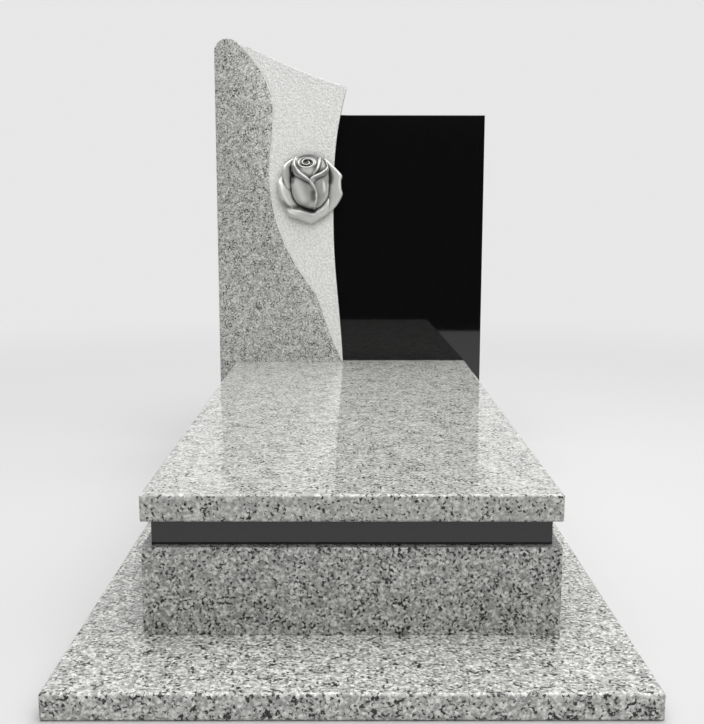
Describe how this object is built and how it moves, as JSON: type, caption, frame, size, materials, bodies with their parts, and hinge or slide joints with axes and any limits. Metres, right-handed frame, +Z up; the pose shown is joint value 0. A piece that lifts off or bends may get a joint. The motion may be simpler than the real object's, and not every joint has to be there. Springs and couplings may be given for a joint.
{
  "type": "grave monument with upright headstone",
  "caption": "Granite grave monument: base slab, low tomb body with a dark recessed band, polished ledger, and an upright headstone of carved stele and black tablet with a rose in relief.",
  "frame": {"origin": "middle of the base slab's underside, on the ground", "axes": "+Z up, -Y towards the front of the grave, +X to the right as seen from the front"},
  "size_m": [1, 2, 1.3284],
  "materials": {
    "polished_granite": "polished light grey speckled granite",
    "stele_granite": "grey granite, polished on the left and tooled pale on the carved field",
    "band_granite": "mirror polished black granite",
    "tablet_granite": "mirror polished black granite",
    "rose_casting": "satin grey casting"
  },
  "bodies": {
    "root": {"base_slab": "polished_granite", "body_front": "polished_granite", "body_left": "polished_granite", "body_right": "polished_granite", "band_front": "band_granite", "band_left": "band_granite", "band_right": "band_granite", "ledger": "polished_granite", "stele": "stele_granite", "tablet": "tablet_granite", "rose": "rose_casting"}
  },
  "joints": []
}
